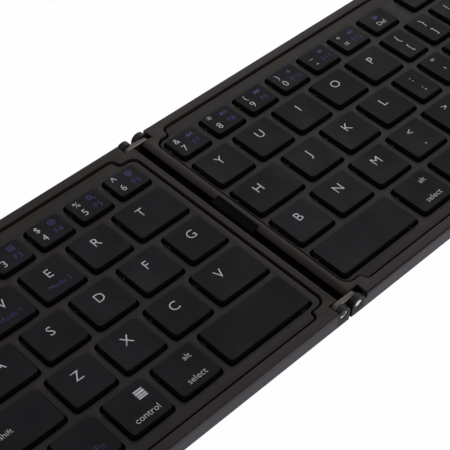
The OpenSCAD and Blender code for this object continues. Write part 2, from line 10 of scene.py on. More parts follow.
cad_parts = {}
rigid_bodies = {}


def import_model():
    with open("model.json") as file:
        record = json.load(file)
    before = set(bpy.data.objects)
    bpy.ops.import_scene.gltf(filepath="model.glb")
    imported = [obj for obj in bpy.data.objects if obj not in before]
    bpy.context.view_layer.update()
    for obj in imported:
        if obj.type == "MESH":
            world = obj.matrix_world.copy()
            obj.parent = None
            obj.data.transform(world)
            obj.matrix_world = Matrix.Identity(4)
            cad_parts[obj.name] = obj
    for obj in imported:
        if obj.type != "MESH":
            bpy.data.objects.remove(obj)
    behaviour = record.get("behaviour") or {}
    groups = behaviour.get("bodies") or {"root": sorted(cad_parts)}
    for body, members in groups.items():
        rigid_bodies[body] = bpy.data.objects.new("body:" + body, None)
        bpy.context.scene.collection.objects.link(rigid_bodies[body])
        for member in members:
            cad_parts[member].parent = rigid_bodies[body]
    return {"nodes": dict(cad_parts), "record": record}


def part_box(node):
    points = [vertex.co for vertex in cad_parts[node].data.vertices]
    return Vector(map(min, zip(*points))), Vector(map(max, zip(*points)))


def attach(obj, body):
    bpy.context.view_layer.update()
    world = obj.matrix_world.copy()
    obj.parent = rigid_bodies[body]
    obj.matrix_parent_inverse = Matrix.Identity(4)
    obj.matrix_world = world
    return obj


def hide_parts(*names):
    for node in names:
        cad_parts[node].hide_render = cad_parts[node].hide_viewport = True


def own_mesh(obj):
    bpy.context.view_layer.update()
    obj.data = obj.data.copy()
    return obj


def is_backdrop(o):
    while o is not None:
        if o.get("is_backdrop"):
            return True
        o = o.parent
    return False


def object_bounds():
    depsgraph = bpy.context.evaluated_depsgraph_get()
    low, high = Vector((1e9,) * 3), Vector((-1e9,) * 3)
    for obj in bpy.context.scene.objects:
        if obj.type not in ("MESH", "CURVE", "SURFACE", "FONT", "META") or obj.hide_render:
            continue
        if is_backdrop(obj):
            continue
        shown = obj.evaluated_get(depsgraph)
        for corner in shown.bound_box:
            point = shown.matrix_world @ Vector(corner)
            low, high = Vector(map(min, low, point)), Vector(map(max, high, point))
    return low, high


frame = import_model()
cad_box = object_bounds()

MM = 0.001
LEAVES = ("left", "right")
SAME_PLACE = 1e-7  # vertices as close as this are one
SMOOTH_BELOW = math.radians(35)
BODIES = frame["record"]["behaviour"]["bodies"]
BODY_OF = {node: body for body, nodes in BODIES.items() for node in nodes}


# ---------------------------------------------------------------- shader maths

FACES_UP = (0.35, 0.85)


class Value:
    """A number that varies over a surface. Its operators add Math nodes."""

    def __init__(self, finish, socket):
        self.finish, self.socket = finish, socket

    def _with(self, operation, other, swapped=False):
        pair = (other, self) if swapped else (self, other)
        return self.finish.number("ShaderNodeMath", {"operation": operation}, {0: pair[0], 1: pair[1]})

    def __add__(self, other):
        return self._with("ADD", other)

    def __sub__(self, other):
        return self._with("SUBTRACT", other)

    def __rsub__(self, other):
        return self._with("SUBTRACT", other, True)

    def __mul__(self, other):
        return self._with("MULTIPLY", other)

    def __truediv__(self, other):
        return self._with("DIVIDE", other)

    def __pow__(self, other):
        return self._with("POWER", other)

    __radd__, __rmul__ = __add__, __mul__

    def root(self):
        return self._with("POWER", 0.5)

    def size(self):
        return self.finish.number("ShaderNodeMath", {"operation": "ABSOLUTE"}, {0: self})

    def wave(self):
        return self.finish.number("ShaderNodeMath", {"operation": "SINE"}, {0: self})

    def between(self, low, high):
        """0 below low, 1 above high, smooth in between."""
        return self.finish.number(
            "ShaderNodeMapRange", {"interpolation_type": "SMOOTHSTEP"}, {0: self, 1: low, 2: high}
        )


class Finish:
    """One material: a Principled shader whose look is worked out from the piece's own coordinates."""

    def __init__(self, name, **constant):
        self.material = bpy.data.materials.new(name)
        self.material.use_nodes = True
        self.nodes = self.material.node_tree.nodes
        self.links = self.material.node_tree.links
        self.shader = self.nodes["Principled BSDF"]
        for socket, value in constant.items():
            self.shader.inputs[socket.replace("_", " ")].default_value = value
        self.place = self.node("ShaderNodeTexCoord").outputs["Object"]
        self.facing = self.node("ShaderNodeTexCoord").outputs["Normal"]

    def node(self, kind, settings=None, sockets=None):
        """Adds a node, sets it up, then gives its sockets their values or links."""
        added = self.nodes.new(kind)
        for name, value in (settings or {}).items():
            setattr(added, name, value)
        for key, value in (sockets or {}).items():
            if isinstance(value, Value):
                value = value.socket
            if isinstance(value, bpy.types.NodeSocket):
                self.links.new(value, added.inputs[key])
            else:
                added.inputs[key].default_value = value
        return added

    def number(self, kind, settings=None, sockets=None):
        return Value(self, self.node(kind, settings, sockets).outputs[0])

    def xyz(self, vector=None):
        parts = self.node("ShaderNodeSeparateXYZ", None, {0: vector or self.place})
        return [Value(self, out) for out in parts.outputs]

    def upward(self):
        """1 where the surface faces up, 0 where it is a wall or faces down."""
        return self.xyz(self.facing)[2].between(*FACES_UP)

    def noise(self, scale, detail=2.0, stretch=(1, 1, 1), roughness=0.5):
        place = self.place
        if stretch != (1, 1, 1):
            place = self.node("ShaderNodeMapping", None, {"Vector": place, "Scale": stretch}).outputs[0]
        return self.number(
            "ShaderNodeTexNoise",
            None,
            {"Vector": place, "Scale": scale, "Detail": detail, "Roughness": roughness},
        )

    def blend(self, share, first, second):
        """Colour between first and second."""
        mixed = self.node(
            "ShaderNodeMix", {"data_type": "RGBA"}, {0: share, 6: solid(first), 7: solid(second)}
        )
        return mixed.outputs[2]

    def bump(self, height, distance, strength=1.0):
        bumped = self.node(
            "ShaderNodeBump", None, {"Height": height, "Distance": distance, "Strength": strength}
        )
        self.links.new(bumped.outputs[0], self.shader.inputs["Normal"])

    def set(self, **vary):
        for socket, value in vary.items():
            value = value.socket if isinstance(value, Value) else value
            self.links.new(value, self.shader.inputs[socket.replace("_", " ")])
        return self

    def on(self, thing):
        """Puts this finish on every slot of a piece."""
        if not thing.material_slots:
            thing.data.materials.append(self.material)
        for slot in thing.material_slots:
            slot.material = self.material
        return thing


def solid(colour):
    """A colour as four numbers; a link is left as it is."""
    return (*colour, 1.0) if isinstance(colour, tuple) and len(colour) == 3 else colour


def shade(red, green, blue):
    """Screen values 0-255 as scene-linear numbers."""
    def linear(value):
        value /= 255
        return value / 12.92 if value <= 0.04045 else ((value + 0.055) / 1.055) ** 2.4
    return (linear(red), linear(green), linear(blue))


def brighter(colour, times):
    return tuple(min(1.0, part * times) for part in colour)


# ---------------------------------------------------------------- finishes

# Painted shade: colours for slots, pockets and the fold between the leaves, and for the grooves round
# the plate
SHADE_BLACK = shade(7, 6, 7)
GROOVE_SHADE = shade(27, 22, 20)
FLAKE_GLINT = 2.6

# Masks over a leaf's paint: where each begins and where it is full, in metres from the middle of
# the keyboard, or above the table for a level
RIM_INNER_X, RIM_INNER_Y = (0.1375, 0.1378), (0.0445, 0.0448)
KEY_FIELD_X, KEY_FIELD_Y = (0.0053, 0.0055), (0.0397, 0.0400)
FOLD_FROM, FOLD_TO = (-0.0009, -0.0005), (0.0010, 0.0015)
PLATE_LEVEL, GROOVE_LEVEL = (0.0057, 0.0063), (0.0059, 0.0064)

# Masks over a base shell
SHELL_END_X, SHELL_END_Y = (0.1390, 0.1402), (0.0458, 0.0470)
UNDERSIDE, LOWER_EDGE, PAINT_LINE = (0.0007, 0.0010), (0.0009, 0.0015), (0.0049, 0.0056)
EARS_X, EARS_Y = (0.0056, 0.0060), (0.0385, 0.0390)
POCKET_X, POCKET_Y = (0.0085, 0.0088), (0.0450, 0.0453)

CHIP_TOPS = (0.00224, 0.0023)
PIN_SPACING, PIN_LEVEL = 0.0064, 0.0048


def painted_plastic(name, dark, light, gloss=0.42, specular=0.12):
    """Satin paint over moulded plastic: fine orange peel, uneven tint, painted shade (black, dark brown
    in the grooves round the plate) in the slots and in the fold, and a lighter, more lavender tint on
    the outer walls."""
    finish = Finish(name, Specular_IOR_Level=specular)
    x, y, z = finish.xyz()
    inside = (1 - y.size().between(*RIM_INNER_Y)) * (1 - x.size().between(*RIM_INNER_X))
    wall = 1 - finish.upward()
    low = 1 - z.between(*PLATE_LEVEL)
    groove = (1 - z.between(*GROOVE_LEVEL)) * wall
    slots = (1 - (1 - low) * (1 - groove)) * inside
    fold = x.between(*FOLD_FROM) * (1 - x.between(*FOLD_TO))
    field = (1 - y.size().between(*KEY_FIELD_Y)) * x.size().between(*KEY_FIELD_X)
    # Painted shade: slots, grooves and the fold are coloured near black or dark brown and made
    # metallic, so that they reflect nothing
    painted_shade = 1 - (1 - slots) * (1 - fold)
    rim = wall * (1 - inside)
    tint = finish.noise(34, 3).between(0.3, 0.7)
    flakes = finish.noise(5200, 1).between(0.66, 0.74)
    peel = finish.noise(1500, 3)
    colour = finish.blend(tint, dark, light)
    colour = finish.blend(flakes * 0.35, colour, brighter(light, FLAKE_GLINT))
    colour = finish.blend(rim, colour, shade(58, 53, 54))
    black = 1 - (1 - field) * (1 - fold)
    colour = finish.blend(painted_shade, colour, finish.blend(black, GROOVE_SHADE, SHADE_BLACK))
    finish.bump(peel, 0.00002, 0.35)
    return finish.set(
        Base_Color=colour, Metallic=painted_shade, Roughness=gloss + 0.10 * finish.noise(60, 2) + 0.06 * peel
    )


def anodised_shell(name):
    """Blasted and anodised light metal: bead marks, soft lavender tint, rubbed lower corners, darker
    ears at the hinge, and painted shade between the leaves and in the pockets: black, and metallic so
    that it reflects nothing."""
    finish = Finish(name, Specular_IOR_Level=0.1)
    beads = finish.noise(4200, 2)
    tint = finish.noise(26, 3).between(0.3, 0.7)
    x, y, height = finish.xyz()
    edge = 1 - (1 - y.size().between(*SHELL_END_Y)) * (1 - x.size().between(*SHELL_END_X))
    rubbed = (1 - height.between(*LOWER_EDGE)) * edge * finish.noise(370, 3).between(0.42, 0.62)
    painted = height.between(*PAINT_LINE)
    ears = (1 - x.size().between(*EARS_X)) * y.size().between(*EARS_Y)
    inner = (1 - y.size().between(*POCKET_Y)) * (1 - x.size().between(*POCKET_X))
    under = 1 - height.between(*UNDERSIDE)
    # Painted shade: the pockets and the walls between the leaves, above the underside, are coloured
    # black
    painted_shade = inner * (1 - under)
    colour = finish.blend(tint, shade(73, 69, 79), shade(83, 79, 88))
    colour = finish.blend(rubbed * 0.5, colour, shade(104, 100, 108))
    colour = finish.blend(painted, colour, shade(56, 51, 51))
    streaks = finish.noise(1700, 2, (1, 0.12, 1)).between(0.35, 0.7)
    worked = finish.blend(streaks, shade(24, 22, 24), shade(44, 40, 41))
    colour = finish.blend(ears * (1 - rubbed), colour, worked)
    colour = finish.blend(painted_shade, colour, SHADE_BLACK)
    finish.bump(beads, 0.00002, 0.4)
    metal = (0.2 + 0.3 * rubbed) * (1 - painted_shade) * (1 - ears) + painted_shade
    return finish.set(Base_Color=colour, Metallic=metal, Roughness=0.40 + 0.14 * beads)


def matt_keycap(name):
    """Soft-touch coated tops; the walls carry painted shade, near black."""
    finish = Finish(name, Specular_IOR_Level=0.06)
    top = finish.upward()
    pebble = finish.noise(6500, 2)
    handled = finish.noise(70, 3).between(0.35, 0.75)
    coat = finish.blend(handled, shade(27, 25, 28), shade(31, 29, 33))
    coat = finish.blend(finish.noise(5200, 1).between(0.64, 0.74) * 0.3, coat, shade(60, 60, 66))
    finish.bump(pebble, 0.000012, 0.4)
    # Painted shade: faces that do not point up are coloured near black
    return finish.set(
        Base_Color=finish.blend(top, shade(9, 9, 11), coat),
        Roughness=0.62 - 0.12 * handled * top + 0.08 * pebble,
    )


def printed_ink(name, colour, worn):
    """Screen-printed ink with a slightly uneven film."""
    finish = Finish(name, Specular_IOR_Level=0.25)
    film = finish.noise(2600, 3).between(0.3, 0.7)
    finish.bump(film, 0.000004, 0.3)
    return finish.set(Base_Color=finish.blend(film, worn, colour), Roughness=0.5 + 0.15 * film)


def brushed_metal(name, dark, light, rough, along=(1, 1, 1), metal=0.9, edge=None):
    """Sheared and tumbled steel: fine lines one way, small dents, and a painted highlight on slanted
    edge faces if asked.
    """
    finish = Finish(name)
    lines = finish.noise(2600, 2, along)
    dents = finish.noise(380, 3)
    finish.bump(0.6 * lines + 0.4 * dents, 0.00003, 0.35)
    colour = finish.blend(lines.between(0.3, 0.7), dark, light)
    if edge:
        # Painted highlight: faces slanting both front-to-back and up or down, such as broken edges,
        # take the bright colour
        _, across, up = finish.xyz(finish.facing)
        edge_highlight = across.size().between(0.25, 0.5) * up.size().between(0.25, 0.5)
        colour = finish.blend(edge_highlight, colour, edge)
    return finish.set(
        Base_Color=colour,
        Metallic=metal - 0.1 * dents,
        Roughness=rough + 0.16 * lines,
    )


def turned_pin(name):
    """Riveted pin head: rings from the tool round each pin's own axis, and a painted highlight on the
    dish's slanted faces.
    """
    finish = Finish(name)
    x, _, z = finish.xyz()
    radius = ((x.size() - PIN_SPACING / 2) ** 2 + (z - PIN_LEVEL) ** 2).root()
    rings = (radius * 42000).wave() * 0.5 + 0.5
    grime = finish.noise(900, 3).between(0.45, 0.7)
    along = finish.xyz(finish.facing)[1].size()
    # Painted highlight: faces of the dish that slant towards the front or back are near white
    dish_highlight = along.between(0.3, 0.5) * (1 - along.between(0.85, 0.95))
    dull = finish.blend(grime, shade(64, 61, 64), shade(36, 34, 37))
    finish.bump(rings * (1 - dish_highlight), 0.00001, 0.35)
    return finish.set(
        Base_Color=finish.blend(dish_highlight, dull, shade(232, 230, 232)),
        Metallic=0.95 - 0.3 * grime * (1 - dish_highlight),
        Roughness=0.2 + (0.18 * grime + 0.05 * rings) * (1 - dish_highlight),
    )


def moulded(name, colour, second, rough=0.5, specular=0.3, grain=3000, height=0.00001, mottle=120):
    """Plain moulded or coated stuff with a grain and a faint mottle."""
    finish = Finish(name, Specular_IOR_Level=specular)
    fine = finish.noise(grain, 2)
    broad = finish.noise(mottle, 3).between(0.3, 0.7)
    finish.bump(fine, height, 0.5)
    return finish.set(Base_Color=finish.blend(broad, colour, second), Roughness=rough + 0.14 * fine)


def circuit_board(name):
    """Green solder mask with copper tracks under it; the chips on top are black."""
    finish = Finish(name, Specular_IOR_Level=0.5)
    x, _, z = finish.xyz()
    tracks = (x * 5200 + 3 * finish.noise(130, 1)).wave().between(0.75, 0.9)
    chips = z.between(*CHIP_TOPS)
    mask = finish.blend(tracks, shade(14, 62, 34), shade(40, 104, 52))
    finish.bump(tracks, 0.00003, 0.4)
    return finish.set(
        Base_Color=finish.blend(chips, mask, shade(22, 22, 24)),
        Roughness=0.35 + 0.25 * finish.noise(2500, 2),
    )


FRAME_PAINT = painted_plastic("frame_paint", shade(46, 41, 39), shade(52, 47, 45), 0.42, 0.09)
PLATE_PAINT = painted_plastic("plate_paint", shade(44, 40, 39), shade(51, 47, 45), 0.46, 0.09)
SHELL_METAL = anodised_shell("shell_anodised")
CAP_COAT = matt_keycap("keycap_coat")
WHITE_INK = printed_ink("legend_white", shade(236, 236, 240), shade(205, 205, 212))
BLUE_INK = printed_ink("legend_blue", shade(55, 54, 116), shade(46, 45, 98))
# The link's broken edges carry a painted highlight
LINK_METAL = brushed_metal("link_steel", shade(46, 40, 37), shade(62, 55, 52), 0.4,
                           (1, 0.08, 1), 0.6, shade(190, 178, 170))
PIN_METAL = turned_pin("pin_head_steel")
FINISHES = {
    "shell_metal": SHELL_METAL,
    "frame_plastic": FRAME_PAINT,
    "plate_plastic": PLATE_PAINT,
    "support_steel": brushed_metal(
        "support_sheet", shade(30, 30, 32), shade(40, 40, 42), 0.5, (0.1, 1, 1), 0.5),
    "membrane_film": moulded("membrane_film", shade(12, 12, 13), shade(18, 18, 20), 0.55, 0.08, 900),
    "dome_rubber": moulded("dome_rubber", shade(20, 20, 22), shade(28, 28, 30), 0.7, 0.1),
    "clip_plastic": moulded("clip_plastic", shade(11, 11, 12), shade(16, 16, 17), 0.6, 0.1),
    "magnet_plating": brushed_metal(
        "magnet_nickel", shade(150, 150, 150), shade(182, 182, 182), 0.2),
    "foot_rubber": moulded(
        "foot_rubber", shade(24, 24, 25), shade(34, 34, 35), 0.8, 0.2, 1800, 0.00003),
    "screw_steel": brushed_metal("screw_black_zinc", shade(44, 44, 47), shade(66, 66, 70), 0.3),
    "battery_pouch": moulded(
        "battery_foil", shade(160, 162, 168), shade(184, 186, 190), 0.28, 0.5, 700, 0.00003),
    "board_green": circuit_board("board_mask"),
    "socket_steel": brushed_metal("socket_shell", shade(140, 140, 144), shade(170, 170, 174), 0.25),
    "link_metal": LINK_METAL,
    "pin_metal": PIN_METAL,
    "cover_plastic": moulded("cover_plastic", shade(12, 12, 16), shade(17, 17, 22), 0.6, 0.01, 2600),
    "cable_film": moulded("cable_film", shade(84, 50, 18), shade(110, 66, 24), 0.3, 0.5, 600),
    "cap_plastic": CAP_COAT,
}


# ---------------------------------------------------------------- modelling helpers

# How far a face's normal must point one way, and an edge's least span, to be picked
FACING = 0.9
FACING_EXACTLY = 0.999
LEAST_SPAN = 0.1 * MM


def choose(*things):
    """Selects only these pieces and makes the first the active one."""
    bpy.ops.object.select_all(action="DESELECT")
    for thing in things:
        thing.select_set(True)
    bpy.context.view_layer.objects.active = things[0]
    return things[0]


def settle(thing):
    """Writes the piece's place into its mesh, so that its object sits at the origin."""
    choose(thing)
    bpy.ops.object.transform_apply(location=True, rotation=True, scale=True)
    return thing


def edit(thing):
    choose(thing)
    bpy.ops.object.mode_set(mode="EDIT")
    bpy.ops.mesh.select_all(action="DESELECT")


def leave_edit():
    bpy.ops.object.mode_set(mode="OBJECT")


def pick_all():
    bpy.ops.mesh.select_all(action="SELECT")


def face_outwards():
    pick_all()
    bpy.ops.mesh.normals_make_consistent(inside=False)


def raise_picked(*offset):
    """Extrudes what is picked by this much."""
    bpy.ops.mesh.extrude_region_move(TRANSFORM_OT_translate={"value": offset})


def joined(parts):
    """One piece of several."""
    whole = choose(*parts)
    if len(parts) > 1:
        bpy.ops.object.join()
    return whole


def copy_of(thing):
    choose(thing)
    bpy.ops.object.duplicate(linked=False)
    return bpy.context.object


def pick_faces(thing, wanted):
    """Selects the faces whose middle and normal pass wanted(middle, normal)."""
    bpy.ops.mesh.select_all(action="DESELECT")
    bpy.ops.mesh.select_mode(type="FACE")
    mesh = bmesh.from_edit_mesh(thing.data)
    mesh.normal_update()
    for face in mesh.faces:
        face.select_set(bool(wanted(face.calc_center_median(), face.normal)))
    bmesh.update_edit_mesh(thing.data)


def pick_edges(thing, wanted):
    """Selects the edges whose two ends pass wanted(end, end)."""
    bpy.ops.mesh.select_all(action="DESELECT")
    bpy.ops.mesh.select_mode(type="EDGE")
    mesh = bmesh.from_edit_mesh(thing.data)
    for edge in mesh.edges:
        edge.select_set(bool(wanted(edge.verts[0].co, edge.verts[1].co)))
    bmesh.update_edit_mesh(thing.data)


def islands(node):
    """Boxes of the separate solids in a CAD node, from a merged copy of its mesh."""
    mesh = bmesh.new()
    mesh.from_mesh(frame["nodes"][node].data)
    bmesh.ops.remove_doubles(mesh, verts=mesh.verts, dist=SAME_PLACE)
    found, seen = [], set()
    for start in mesh.verts:
        if start in seen:
            continue
        seen.add(start)
        group, queue = [], [start]
        while queue:
            vert = queue.pop()
            group.append(vert.co)
            for edge in vert.link_edges:
                other = edge.other_vert(vert)
                if other not in seen:
                    seen.add(other)
                    queue.append(other)
        low = Vector([min(co[k] for co in group) for k in range(3)])
        high = Vector([max(co[k] for co in group) for k in range(3)])
        found.append((low, high))
    mesh.free()
    return found


# ---------------------------------------------------------------- keycaps

CAP_CORNER = 1.2 * MM
CAP_SHOULDER = 0.15 * MM
CAP_WALL = 0.8 * MM
CAP_DISH = 0.05 * MM
CAP_LIP = 0.45 * MM
INK_FILM = 0.012 * MM

cap_models = {}


def model_cap(width, depth, low, high):
    """A hollow cap with round corners, a soft shoulder and a barely sunk top, middle at the origin."""
    bpy.ops.mesh.primitive_cube_add(
        size=1, location=(0, 0, (low + high) / 2), scale=(width, depth, high - low)
    )
    cap = settle(bpy.context.object)
    edit(cap)
    pick_edges(cap, lambda a, b: abs(a.z - b.z) > LEAST_SPAN)
    bpy.ops.mesh.bevel(offset=CAP_CORNER, segments=6, affect="EDGES")
    pick_faces(cap, lambda middle, normal: normal.z > FACING)
    bpy.ops.mesh.region_to_loop()
    bpy.ops.mesh.bevel(offset=CAP_SHOULDER, segments=3, affect="EDGES")
    pick_faces(cap, lambda middle, normal: normal.z > FACING_EXACTLY)
    bpy.ops.mesh.inset(thickness=CAP_LIP, depth=0)
    bpy.ops.transform.translate(value=(0, 0, -CAP_DISH))
    pick_faces(cap, lambda middle, normal: normal.z < -FACING)
    bpy.ops.mesh.inset(thickness=CAP_WALL, depth=0)
    raise_picked(0, 0, high - CAP_WALL - low)
    face_outwards()
    leave_edit()
    bpy.ops.object.shade_smooth_by_angle(angle=SMOOTH_BELOW)
    return cap


def place_cap(name, box, node):
    """A copy of the cap of this size, put where the CAD cap is."""
    low, high = box
    size = (round((high.x - low.x) / MM, 2), round((high.y - low.y) / MM, 2))
    if size not in cap_models:
        cap_models[size] = model_cap(size[0] * MM, size[1] * MM, low.z, high.z)
    cap = copy_of(cap_models[size])
    cap.name = name
    cap.location = ((low.x + high.x) / 2, (low.y + high.y) / 2, 0)
    settle(cap)
    CAP_COAT.on(cap)
    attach(cap, BODY_OF[node])
    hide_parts(node)


# Every cap, by leaf (0 left, 1 right) and row from the front, outwards from the fold
FRONT_MARGIN = 7.9 * MM
ROW_PITCH = 16.8 * MM
REAR_ROW = 4
CAP_NODES = [node for node in frame["nodes"] if node.startswith("key_") or node.endswith("_space_bar")]
CAP_GROUPS = ["left_number_keys", "right_number_keys", "left_side_keys", "right_side_keys"]
FIRST_ROW_AT = cad_box[0].y + FRONT_MARGIN

caps = {(leaf, row): [] for leaf in (0, 1) for row in range(REAR_ROW + 1)}
for node in CAP_NODES + CAP_GROUPS:
    boxes = islands(node) if node in CAP_GROUPS else [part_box(node)]
    for low, high in boxes:
        middle = (low + high) / 2
        row = min(REAR_ROW, int((middle.y - FIRST_ROW_AT) / ROW_PITCH))
        caps[(int(middle.x > 0), row)].append((abs(middle.x), middle.y, node, (low, high)))
for entries in caps.values():
    entries.sort(key=lambda entry: (round(entry[0], 4), entry[1]))


# ---------------------------------------------------------------- legends

# A mark is its kind, text or sign, place from the cap's middle in mm, size in mm and ink
LETTER_SIZE = 4.7
USUAL_WIDTH, WIDE_WIDTH = 15.7, 20.5
STROKE_TRIM = -0.004


def letter(text, x=0):
    return [("text", text, x, 1.6, LETTER_SIZE, "white")]


def near_left(text):
    """A letter on a wide key beside the fold stands where it would on a key of the usual width."""
    return letter(text, (USUAL_WIDTH - WIDE_WIDTH) / 2)


def pair(upper, lower, size=4.0):
    return [("text", upper, 0, 3.0, size, "white"), ("text", lower, 0, -2.6, size, "white")]


# Symbols that a typeface draws small for their size
SMALL_SYMBOLS = {"^": 4.6, "*": 4.4, "~": 4.0}


def number(symbol, digit, function, pictogram):
    return [
        ("text", symbol, -2.9, 2.3, SMALL_SYMBOLS.get(symbol, 3.3), "white"),
        ("text", digit, -2.8, -1.7, 3.8, "white"),
        ("text", function, 2.3, -1.8, 3.1, "blue"),
        ("sign", pictogram, 2.4, 2.1, 2.6, "blue"),
    ]


def word(text, size=2.5, x=0, y=0, ink="white"):
    return [("text", text, x, y, size, ink)]


def low_word(text):
    return word(text, 2.6, 2.0, -3.7)


def mode_letter(text, mode):
    return letter(text) + word(mode, 2.6, 0.4, -3.3, "blue")


def sign(kind, x, y, size, ink="white"):
    return [("sign", kind, x, y, size, ink)]


ALT = word("alt", 2.8, 2.9, 3.2) + word("select", 2.9, 0.5, -3.7)
LEGENDS = {
    (0, 0): [[], ALT, sign("menu", 3.4, 2.6, 3.4) + word("control", 2.9, 0.4, -3.7),
             word("Fn", 3.0, 2.2, -3.0, "blue"), low_word("ctrl"), low_word("ins")],
    (0, 1): [near_left("V"), letter("C"), letter("X"), letter("Z"), word("shift"), word("page", 2.6)],
    (0, 2): [letter("G"), letter("F"), letter("D"), letter("S"), letter("A"), word("caps")],
    (0, 3): [near_left("T"), letter("R"), mode_letter("E", "Mode 2"), mode_letter("W", "Mode 1"),
             mode_letter("Q", "Mode 3"), word("tab")],
    (0, 4): [number("^", "6", "F6", "disc"), number("%", "5", "F5", "lens"),
             number("$", "4", "F4", "globe"), number("#", "3", "F3", "keys"),
             number("@", "2", "F2", "sun"), number("!", "1", "F1", "house"),
             number("~", "`", "", "bars"), word("esc")],
    (1, 0): [[], ALT, low_word("ctrl"), sign("west", 0, 0, 2.6), sign("south", 0, 0, 2.2),
             sign("north", 0, 0, 2.2), sign("east", 0, 0, 2.6)],
    (1, 1): [letter("B"), letter("N"), letter("M"), pair("<", ","), pair(">", "."), pair("?", "/"),
             word("shift")],
    (1, 2): [near_left("H"), letter("J"), letter("K"), letter("L"), pair(":", ";"),
             pair('"', "'", 5.0), word("enter")],
    (1, 3): [letter("Y"), letter("U"), letter("I"), letter("O"), letter("P"), pair("{", "["),
             pair("}", "]"), pair("|", "\\")],
    (1, 4): [number("&", "7", "F7", "back"), number("*", "8", "F8", "play"),
             number("(", "9", "F9", "ahead"), number(")", "0", "F10", "mute"),
             number("_", "-", "F11", "quiet"), number("+", "=", "F12", "loud"),
             word("Del", 2.8, -0.4, -1.9) + sign("lock", -0.2, 1.8, 2.4, "blue"), word("back")],
}


def film(thing):
    """Gives a flat shape the thickness of an ink film, standing on z = 0."""
    edit(thing)
    pick_all()
    raise_picked(0, 0, INK_FILM)
    face_outwards()
    leave_edit()


def print_text(text, size):
    bpy.ops.object.text_add(location=(0, 0, 0))
    mark = bpy.context.object
    mark.data.body = text
    mark.data.size = size * MM
    mark.data.align_x, mark.data.align_y = "CENTER", "CENTER"
    mark.data.resolution_u = 3
    mark.data.offset = STROKE_TRIM * size * MM
    choose(mark)
    bpy.ops.object.convert(target="MESH")
    mark = bpy.context.object
    edit(mark)
    pick_all()
    bpy.ops.mesh.remove_doubles(threshold=SAME_PLACE)
    leave_edit()
    return mark


def flat_polygon(corners, size, x=0.0, y=0.0, turn=0.0):
    """A flat regular shape: 3 corners for an arrow head, many for a disc."""
    bpy.ops.mesh.primitive_circle_add(vertices=corners, radius=size / 2, fill_type="NGON",
                                      location=(x, y, 0), rotation=(0, 0, math.radians(turn)))
    return settle(bpy.context.object)


def flat_ring(size, width, x=0.0, y=0.0, corners=20):
    ring = flat_polygon(corners, size, x, y)
    edit(ring)
    pick_all()
    bpy.ops.mesh.inset(thickness=width, depth=0)
    bpy.ops.mesh.delete(type="FACE")
    leave_edit()
    return ring


def flat_bar(width, depth, x=0.0, y=0.0, turn=0.0):
    bpy.ops.mesh.primitive_plane_add(size=1, location=(x, y, 0),
                                     rotation=(0, 0, math.radians(turn)))
    bar = bpy.context.object
    bar.scale = (width, depth, 1)
    return settle(bar)


ARROW_TURNS = {"north": 0, "west": 90, "south": 180, "east": -90}
# Height and place of the lines beside a loudspeaker
SOUND_WAVES = {"mute": [], "quiet": [(0.4, 0.35)], "loud": [(0.4, 0.32), (0.7, 0.52)]}


def arrow_head(s, x, turn):
    return flat_polygon(3, s * 0.8, x * s, turn=turn)


def sign_parts(kind, s):
    """The flat shapes of a small pictogram of size s."""
    if kind in ARROW_TURNS:
        return [flat_polygon(3, s, turn=ARROW_TURNS[kind])]
    if kind == "back":
        return [arrow_head(s, -0.22, 90), arrow_head(s, 0.28, 90)]
    if kind == "ahead":
        return [arrow_head(s, 0.22, -90), arrow_head(s, -0.28, -90)]
    if kind == "play":
        return [arrow_head(s, -0.3, -90)] + [flat_bar(0.12 * s, 0.6 * s, x * s) for x in (0.2, 0.45)]
    if kind in SOUND_WAVES:
        return [flat_bar(0.2 * s, 0.3 * s, -0.35 * s), arrow_head(s, -0.08, 90)] + [
            flat_bar(0.1 * s, tall * s, x * s) for tall, x in SOUND_WAVES[kind]]
    if kind == "lens":
        return [flat_ring(0.7 * s, 0.12 * s, -0.1 * s, 0.1 * s),
                flat_bar(0.45 * s, 0.13 * s, 0.3 * s, -0.3 * s, -45)]
    if kind == "lock":
        return [flat_bar(0.7 * s, 0.5 * s, 0, -0.18 * s), flat_ring(0.5 * s, 0.1 * s, 0, 0.14 * s)]
    if kind == "disc":
        return [flat_ring(0.95 * s, 0.14 * s), flat_polygon(12, 0.4 * s)]
    if kind == "globe":
        return [flat_ring(0.95 * s, 0.12 * s), flat_bar(0.12 * s, 0.8 * s),
                flat_bar(0.8 * s, 0.12 * s)]
    if kind == "keys":
        return [flat_bar(0.22 * s, 0.2 * s, x * 0.32 * s, y * 0.3 * s)
                for x in (-1, 0, 1) for y in (-1, 0, 1)]
    if kind == "sun":
        return [flat_polygon(14, 0.45 * s)] + [
            flat_bar(0.2 * s, 0.09 * s, 0.42 * s * math.cos(a), 0.42 * s * math.sin(a), math.degrees(a))
            for a in [math.radians(45 * k) for k in range(8)]]
    if kind == "house":
        return [flat_bar(0.6 * s, 0.42 * s, 0, -0.2 * s), flat_polygon(3, 0.9 * s, 0, 0.2 * s)]
    if kind == "bars":
        return [flat_bar(0.8 * s, 0.13 * s, 0, y * 0.28 * s) for y in (-1, 0, 1)]
    # menu: bars with narrow gaps between them
    return [flat_bar(0.9 * s, 0.15 * s, 0, 0.375 * s), flat_bar(0.9 * s, 0.15 * s, 0, -0.375 * s),
            flat_bar(0.9 * s, 0.24 * s, 0, 0.125 * s * 0.9), flat_bar(0.9 * s, 0.15 * s, 0, -0.16 * s)]


def print_mark(mark, middle, top):
    """Prints one mark on the cap whose middle and top are given."""
    kind, content, x, y, size, _ = mark
    thing = print_text(content, size) if kind == "text" else joined(sign_parts(content, size * MM))
    film(thing)
    thing.location = (middle.x + x * MM, middle.y + y * MM, top)
    return settle(thing)


